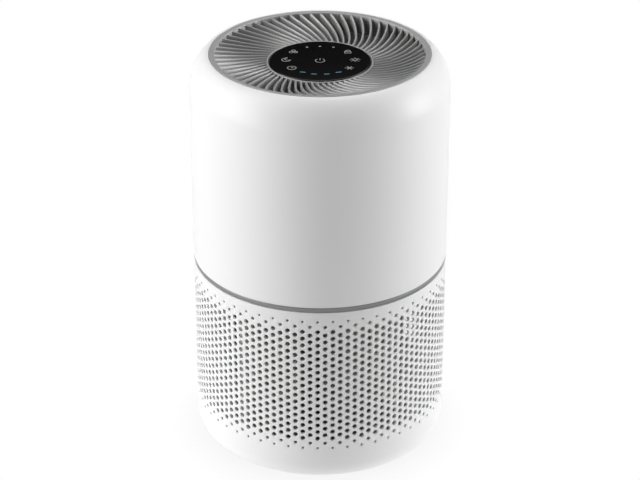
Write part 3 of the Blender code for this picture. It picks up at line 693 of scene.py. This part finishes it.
def stroke(path, width=PRINT_WIDTH, closed=False):
    """A flat raised line along a path (n, 2): its sides are the path moved by half the width."""
    path = np.asarray(path, float)
    if closed:
        path = np.concatenate([path, path[:1]])
    ahead = np.gradient(path, axis=0)
    if closed:
        ahead[0] = ahead[-1] = ahead[0] + ahead[-1]
    ahead /= np.linalg.norm(ahead, axis=1)[:, None]
    side = np.stack([-ahead[:, 1], ahead[:, 0]], 1) * width / 2
    low, high = panel_high - 0.05, panel_high + PRINT_RISE
    left, right = path + side, path - side
    sections = np.stack([
        np.column_stack([edge, np.full(len(path), height)])
        for edge, height in ((right, low), (right, high), (left, high), (left, low))
    ], 1)
    return closed_run(sections)


def arc(centre, radius, start, end, count=28):
    """Points of a circle's arc, angles in degrees."""
    t = np.radians(np.linspace(start, end, count))
    return np.stack([centre[0] + radius * np.cos(t), centre[1] + radius * np.sin(t)], 1)


def line(*ends):
    """Points along straight runs."""
    ends = np.array(ends, float)
    runs = [np.linspace(a, b, 5)[:-1] for a, b in zip(ends, ends[1:])]
    return np.concatenate(runs + [ends[-1:]])


def power_symbol(x, y):
    return [stroke(arc((x, y), 3.9, 125, 415)), stroke(line((x, y + 4.6), (x, y + 1.1)))]


def fan_symbol(x, y):
    petals = []
    for turn in (90, 210, 330):
        t = np.linspace(0, 2 * np.pi, 24)[:-1]
        r = 2.1 + 1.55 * np.cos(t)
        a = np.radians(turn) + 0.75 * np.sin(t)
        petals.append(stroke(np.stack([x + r * np.cos(a), y + r * np.sin(a)], 1), closed=True))
    return petals


def moon_symbol(x, y):
    outer_edge = arc((x, y), 3.6, 75, 345, 30)
    inner_edge = arc((x + 1.75, y + 1.75), 2.75, 322, 98, 22)
    return [stroke(np.concatenate([outer_edge, inner_edge]), closed=True)]


def clock_symbol(x, y):
    return [stroke(arc((x, y), 3.6, 0, 360, 40)[:-1], closed=True),
            stroke(line((x, y + 2.2), (x, y), (x + 1.7, y)))]


def lock_symbol(x, y):
    body = line((x - 2.6, y - 3.0), (x + 2.6, y - 3.0), (x + 2.6, y + 0.6), (x - 2.6, y + 0.6),
                (x - 2.6, y - 3.0))
    shackle = np.concatenate([[(x - 1.7, y + 0.6)], arc((x, y + 1.9), 1.7, 180, 0, 14),
                              [(x + 1.7, y + 0.6)]])
    return [stroke(body), stroke(shackle), stroke(line((x, y - 0.7), (x, y - 1.8)))]


def lamp_symbol(x, y):
    rays = [stroke(line((x + 3.2 * math.cos(a), y + 3.2 * math.sin(a)),
                        (x + 4.5 * math.cos(a), y + 4.5 * math.sin(a))))
            for a in np.radians(np.arange(0, 360, 45))]
    return [stroke(arc((x, y), 2.0, 0, 360, 26)[:-1], 0.55, closed=True)] + rays


def star_symbol(x, y):
    return [stroke(line((x - 3.8 * math.cos(a), y - 3.8 * math.sin(a)),
                        (x + 3.8 * math.cos(a), y + 3.8 * math.sin(a))))
            for a in np.radians((0, 60, 120))]


symbols = (power_symbol(0.0, 0.0) + fan_symbol(-22.5, 19.3) + moon_symbol(-28.5, 1.7)
           + clock_symbol(-23.5, -15.7) + lock_symbol(23.5, 19.0) + lamp_symbol(29.4, 1.7)
           + star_symbol(24.5, -15.7))
for x, y in ((-11.0, 29.2), (0.0, 31.0), (11.5, 29.0)):
    symbols.append(stroke(arc((x, y), 0.75, 0, 360, 14)[:-1], closed=True))
print_piece = mesh_piece("panel_symbols", *gather(symbols), PRINT)
stand_for(print_piece, "housing", "milky_plastic")
BAR_HALF, BAR_WIDTH, BAR_TILT = 2.3, 0.75, 0.04
bars = [stroke(line((x - BAR_HALF, y - BAR_TILT * x), (x + BAR_HALF, y + BAR_TILT * x)), BAR_WIDTH)
        for x, y in ((-14.3, -24.6), (-4.9, -28.6), (5.6, -28.6), (15.3, -24.8))]
stand_for(mesh_piece("level_bars", *gather(bars), LEVEL), "housing", "milky_plastic")


def dress(look, *names):
    """Gives CAD nodes whose shape is right their material."""
    for name in names:
        mesh = nodes[name].data
        mesh.materials.clear()
        mesh.materials.append(look)


MILKY = moulded("milky_plastic", (0.78, 0.8, 0.82), 0.35, cloud=0.04, Subsurface_Weight=0.2)
SOLDER_MASK = moulded("circuit_board", (0.02, 0.13, 0.055), 0.35, scale=900.0, cloud=0.35,
                      cloud_scale=160.0)
dress(MILKY, "light_guide")
dress(SOLDER_MASK, "touch_board", "power_board")

# ======================================================================================
# Inner frame: chassis, fan diffuser, air duct, inlet guard and panel base are plain light
# grey mouldings that nobody sees from outside, with a coarser grain than the housings.
# ======================================================================================
INNER = moulded("inner_plastic", (0.52, 0.53, 0.52), 0.5, scale=1100.0, cloud=0.06)
dress(INNER, "mid_chassis", "fan_diffuser", "air_duct", "inlet_guard", "panel_base")

# ======================================================================================
# Fan and motor: a dark glass-filled impeller held by a nut on a ground shaft, a plated
# rotor cup round a wound stator, and two bearings.
# ======================================================================================
FAN_PLASTIC = moulded("fan_plastic", (0.06, 0.063, 0.068), 0.42, scale=600.0, cloud=0.25,
                      cloud_scale=120.0)
dress(FAN_PLASTIC, "impeller")


def brushed(name, colour, roughness, along=(1.0, 1.0, 30.0)):
    """Turned or brushed metal: noise stretched along one direction scores the surface."""
    look = bpy.data.materials.new(name)
    look.use_nodes = True
    work = Nodes(look.node_tree)
    shader = look.node_tree.nodes["Principled BSDF"]
    place = work.add("ShaderNodeTexCoord").outputs["Object"]
    pulled = work.add("ShaderNodeMapping", Vector=place, Scale=along).outputs[0]
    score = work.add("ShaderNodeTexNoise", Vector=pulled, Scale=160.0, Detail=4.0).outputs["Fac"]
    dark, pale = [(*(c * k for c in colour), 1.0) for k in (0.82, 1.1)]
    work.put(shader.inputs["Base Color"],
             work.add("ShaderNodeMix", {"data_type": "RGBA"}, n0=score, n6=dark, n7=pale).outputs[2])
    shine = work.add("ShaderNodeMapRange", Value=score, n3=roughness * 0.8, n4=roughness * 1.3)
    work.put(shader.inputs["Roughness"], shine.outputs[0])
    work.put(shader.inputs["Normal"],
             work.add("ShaderNodeBump", Strength=0.3, Distance=0.00002, Height=score).outputs[0])
    shader.inputs["Metallic"].default_value = 1.0
    return look


STEEL = brushed("steel", (0.58, 0.58, 0.57), 0.28)
COPPER = brushed("windings", (0.6, 0.28, 0.13), 0.35, (1.0, 1.0, 60.0))
dress(STEEL, "impeller_nut", "motor_shaft", "motor_rotor", "bearing_lower", "bearing_upper")
dress(COPPER, "motor_stator")

# ======================================================================================
# Power electronics: a transformer and a capacitor on the upright board, and the sleeved
# mains lead that climbs to it inside the back wall.
# ======================================================================================
SLEEVE = moulded("black_plastic", (0.02, 0.02, 0.021), 0.45, scale=1300.0, cloud=0.3, cloud_scale=60.0)
dress(SLEEVE, "power_transformer", "main_capacitor", "mains_lead")

# ======================================================================================
# Rubber: four arc-shaped feet pressed into pockets of the base, and the flanged bush that
# the mains cord enters by, low in the back.
# ======================================================================================
RUBBER = moulded("rubber", (0.035, 0.035, 0.036), 0.72, scale=900.0, depth=0.00005, cloud=0.4,
                 cloud_scale=70.0)


def foot(quarter, number):
    """A foot: a rounded outline in (r, z) carried round an arc, shrinking to its rounded ends."""
    low, high = 0.0, 2.2
    section = rounded([(FOOT_INNER, low, 0.6), (FOOT_OUTER, low, 0.6), (FOOT_OUTER, high),
                       (FOOT_INNER, high)], 4)
    middle = np.array([(FOOT_INNER + FOOT_OUTER) / 2, high])
    u = np.linspace(-1, 1, 33)
    size = np.sqrt(np.clip(1 - (np.abs(u) - 0.86).clip(0) ** 2 / 0.14 ** 2 * 0.85, 0, 1))
    angle = np.radians(quarter + FOOT_HALF * u)
    r = middle[0] + (section[:, 0] - middle[0]) * size[:, None]
    z = np.tile(section[:, 1], (len(u), 1))
    points = np.stack([r * np.cos(angle)[:, None], r * np.sin(angle)[:, None], z], -1)
    piece = mesh_piece(f"rubber_foot_{number}", *closed_run(points), RUBBER)
    stand_for(piece, "housing", "rubber", f"foot_{number}")


for index, quarter in enumerate(QUARTERS):
    foot(quarter, index + 1)

bush_outline = rounded([(3.3, 103.6, 0.3), (8.5, 103.6, 0.4), (8.5, 106.6, 0.4), (6.4, 106.6),
                        (6.4, 109.4, 0.5), (3.3, 109.4, 0.6)])
points, faces = turned(bush_outline, 48)
stand_for(mesh_piece("inlet_bush", to_back_wall(points), faces, RUBBER), "housing", "rubber",
          "cord_inlet")

# ======================================================================================
# Base screws: plated pan-head screws with a cross recess. They are sunk in the base between
# the feet and hold the lower housing to the posts of the chassis.
# ======================================================================================
SCREW_TIP = 13.0
CROSS_REACH, CROSS_HALF = 1.7, 0.32


def cross_screw(number, x, y, face, seat_height, tip):
    """A pan head turned from its outline, with a cross cut into its face, and its shank."""
    head = [(0.0, face), (1.2, face), (2.3, face + 0.18), (SCREW_HEAD, face + 0.65),
            (SCREW_HEAD, seat_height), (1.5, seat_height), (1.5, tip - 1.0), (0.9, tip), (0.0, tip)]
    points, faces = turned(np.array(head), 32)
    piece = mesh_piece(f"cross_screw_{number}", points, faces, STEEL)
    arm, half = CROSS_REACH, CROSS_HALF
    cross = np.array([(-arm, -half), (-half, -half), (-half, -arm), (half, -arm), (half, -half),
                      (arm, -half), (arm, half), (half, half), (half, arm), (-half, arm),
                      (-half, half), (-arm, half)])
    carve(piece, [closed_run(np.stack([
        np.column_stack([cross, np.full(len(cross), z)]) for z in (face - 0.5, face + 0.55)]))])
    piece.data.transform(Matrix.Translation((x * MM, y * MM, 0)))
    stand_for(piece, "housing", "steel", f"base_screw_{number}")


for index, quarter in enumerate(QUARTERS):
    spot = math.radians(quarter + 45)
    cross_screw(index + 1, SCREW_CIRCLE * math.cos(spot), SCREW_CIRCLE * math.sin(spot),
                lower_low + 0.1, lower_low + 0.9, SCREW_TIP)

# ======================================================================================
# Filter cartridge: pleated fibre paper round a carbon layer and an inner cage, between two
# dark caps, inside a fine net, with a foam seal on top and a ribbon to pull it out by.
# ======================================================================================
PAPER = moulded("filter_paper", (0.82, 0.81, 0.77), 0.85, scale=1500.0, depth=0.0001, cloud=0.1,
                cloud_scale=200.0)
CARBON = moulded("carbon", (0.018, 0.018, 0.02), 0.7, scale=420.0, depth=0.0008, cloud=0.8, polish=0.3)
NET = moulded("filter_net", (0.03, 0.031, 0.033), 0.6, cloud=0.3)
FOAM = moulded("foam", (0.045, 0.045, 0.048), 0.92, scale=1400.0, depth=0.0003, cloud=0.5)
CAP = moulded("filter_plastic", (0.16, 0.17, 0.18), 0.48, scale=1200.0, cloud=0.08)
dress(CARBON, "filter_carbon")
dress(FOAM, "filter_seal")
PLEATS = 96
_, media_low, media_high = extent("filter_media")
media_inner, media_outer = 51.8, 74.7


def pleats():
    """Paper folded to and fro: r = middle + half depth x (2/pi) arcsin(sin(pleats x angle) eased).

    Two such walls, 1.8 mm apart along the radius, joined at top and bottom.
    """
    steps = PLEATS * 8
    turn = 2 * np.pi * np.arange(steps) / steps
    wave = 2 / np.pi * np.arcsin(0.97 * np.sin(PLEATS * turn))
    middle, half = (media_inner + media_outer) / 2, (media_outer - media_inner) / 2 - 1.0
    corners = ((0.9, media_low), (0.9, media_high), (-0.9, media_high), (-0.9, media_low))
    outline = [(middle + half * wave + shift, z) for shift, z in corners]
    points = np.stack([np.stack([r * np.cos(turn), r * np.sin(turn), np.full(steps, z)], -1)
                       for r, z in outline], 1).reshape(-1, 3)
    i, k = np.arange(steps)[:, None], np.arange(4)
    after, up = (i + 1) % steps, (k + 1) % 4
    quads = np.stack([i * 4 + k, after * 4 + k, after * 4 + up, i * 4 + up], -1)
    return points, [quads.reshape(-1, 4)]


stand_for(mesh_piece("pleated_paper", *pleats(), PAPER), "filter", "filter_paper", "filter_media")


def strands(radius, count, low, high, thickness, rise):
    """Thin threads winding up a cylinder: angle = start + rise x height, in both senses."""
    height = np.linspace(low, high, 41)
    t = (height - low) / (high - low)
    made = []
    for sense in (1, -1):
        wound = radius + sense * thickness * 0.35
        angle = sense * np.radians(rise) * t
        ring = np.array([(0, -1), (1, 0), (0, 1), (-1, 0)]) * thickness / 2
        r = wound + ring[:, 0]
        z = np.tile(height[:, None], (1, len(ring)))
        side = ring[:, 1] / wound
        around = angle[:, None] + side
        sections = np.stack([r * np.cos(around), r * np.sin(around), z], -1)
        points, (quads, caps) = closed_run(sections)
        turn = 2 * np.pi * np.arange(count) / count
        spun = np.stack([np.outer(np.cos(turn), points[:, 0]) - np.outer(np.sin(turn), points[:, 1]),
                         np.outer(np.sin(turn), points[:, 0]) + np.outer(np.cos(turn), points[:, 1]),
                         np.tile(points[:, 2], (count, 1))], -1).reshape(-1, 3)
        step = (np.arange(count) * len(points))[:, None, None]
        made.append((spun, [(quads + step).reshape(-1, 4), (caps + step).reshape(-1, 4)]))
    return gather(made)


NET_RADIUS, THREADS, THREAD, THREAD_TURN = 75.95, 110, 0.45, 75.0
net = strands(NET_RADIUS, THREADS, media_low, media_high, THREAD, THREAD_TURN)
stand_for(mesh_piece("net_threads", *net, NET), "filter", "filter_net", "filter_prefilter")

cage_outer, cage_inner, hoop = 45.4, 43.6, 3.0
cage_rings = [
    turned(np.array([(cage_inner, z), (cage_outer, z), (cage_outer, z + hoop),
                     (cage_inner, z + hoop)]), 96)
    for z in np.linspace(media_low, media_high - hoop, 7)
]
cage_bars = [arc_block(cage_inner + 0.2, cage_outer - 0.2, media_low + 0.5, media_high - 0.5,
                       start, start + 3.0, 2) for start in np.arange(0, 360, 12.0)]
stand_for(mesh_piece("filter_cage", *gather(cage_rings + cage_bars), CAP), "filter",
          "filter_plastic", "filter_core")

cap_radius, cap_low, cap_high = extent("filter_top_cap")
CAP_BORE, LIP_INNER, LIP_TOP = 42.0, 76.9, 16.0  # each cap's lip lies round the edge of the net
top_cap = rounded([
    (CAP_BORE, media_high + 0.3, 0.5), (LIP_INNER, media_high + 0.3), (LIP_INNER, cap_low),
    (cap_radius, cap_low, 0.4), (cap_radius, cap_high, 1.0), (CAP_BORE, cap_high, 0.5),
])
stand_for(mesh_piece("top_end_cap", *turned(top_cap, 144), CAP), "filter", "filter_plastic",
          "filter_top_cap")
_, low_cap, low_cap_high = extent("filter_bottom_cap")
bottom_cap = rounded([
    (0.0, low_cap_high), (35.5, low_cap_high, 1.0), (35.5, media_low - 0.3),
    (LIP_INNER, media_low - 0.3), (LIP_INNER, LIP_TOP), (cap_radius, LIP_TOP, 0.4),
    (cap_radius, low_cap, 1.0), (33.8, low_cap, 0.8), (33.8, low_cap_high - 1.8, 0.5),
    (0.0, low_cap_high - 1.8),
])
stand_for(mesh_piece("bottom_end_cap", *turned(bottom_cap, 144), CAP), "filter", "filter_plastic",
          "filter_bottom_cap")

RIBBON = moulded("ribbon", (0.09, 0.26, 0.42), 0.8, scale=1600.0, depth=0.0001, cloud=0.3)
RIBBON_START, RIBBON_LENGTH, RIBBON_HALF, RIBBON_THICKNESS = 38.2, 21.6, 8.9, 0.45


def ribbon():
    """A strip whose middle lifts in a slow wave: z = base + rise x sin(pi t)^2."""
    t = np.linspace(0, 1, 25)
    y = RIBBON_START + RIBBON_LENGTH * t
    z = low_cap - 1.05 + 0.25 * np.sin(np.pi * t) ** 2
    x = np.array([-RIBBON_HALF, RIBBON_HALF, RIBBON_HALF, -RIBBON_HALF])
    lift = np.array([0.0, 0.0, RIBBON_THICKNESS, RIBBON_THICKNESS])
    sections = np.stack([np.tile(x, (len(t), 1)), np.tile(y[:, None], (1, 4)), z[:, None] + lift], -1)
    return closed_run(sections)


stand_for(mesh_piece("pull_ribbon", *ribbon(), RIBBON), "filter", "ribbon", "filter_pull_tab")

# ======================================================================================
# Bottom cover: a white disc that twists 20 degrees and drops, with a bar across a round
# recess for the fingers and four lugs that catch over the base.
# ======================================================================================
cover_low = 1000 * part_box("bottom_cover")[0].z
COVER_RADIUS = 80.4
recess_top, recess_wall = 13.5, 30.5
cover_outline = rounded([
    (0.0, recess_top), (recess_wall - 1.0, recess_top, 2.0), (recess_wall, cover_low, 1.0),
    (COVER_RADIUS, cover_low, 0.6), (COVER_RADIUS, 6.2, 0.3), (COVER_RADIUS - 1.8, 6.2, 0.3),
    (COVER_RADIUS - 1.8, base_top), (66.0, base_top), (66.0, 6.4, 0.3), (64.0, 6.4, 0.3),
    (64.0, base_top), (33.0, base_top, 1.0), (31.8, 15.5, 1.5), (0.0, 15.5),
])


def grip_bar():
    """A bar across the recess: a rounded outline in (y, z) carried along x."""
    section = rounded([(-4.9, 14.0), (-4.9, cover_low + 0.6, 1.6), (4.9, cover_low + 0.6, 1.6),
                       (4.9, 14.0)], 6)
    x = np.linspace(-30.9, 30.9, 9)
    sections = np.stack([np.tile(x[:, None], (1, len(section))), np.tile(section[:, 0], (9, 1)),
                         np.tile(section[:, 1], (9, 1))], -1)
    return closed_run(sections)


lugs = [arc_block(COVER_RADIUS - 1.0, opening + 2.6, base_top + 0.3, 6.0, quarter + LOCK_ANGLE - 6.0,
                  quarter + LOCK_ANGLE + 6.0, 6) for quarter in QUARTERS]
cover = mesh_piece("twist_cover", *gather([turned(cover_outline, 192), grip_bar()] + lugs), WHITE)
stand_for(cover, "cover", "white_housing", "bottom_cover")
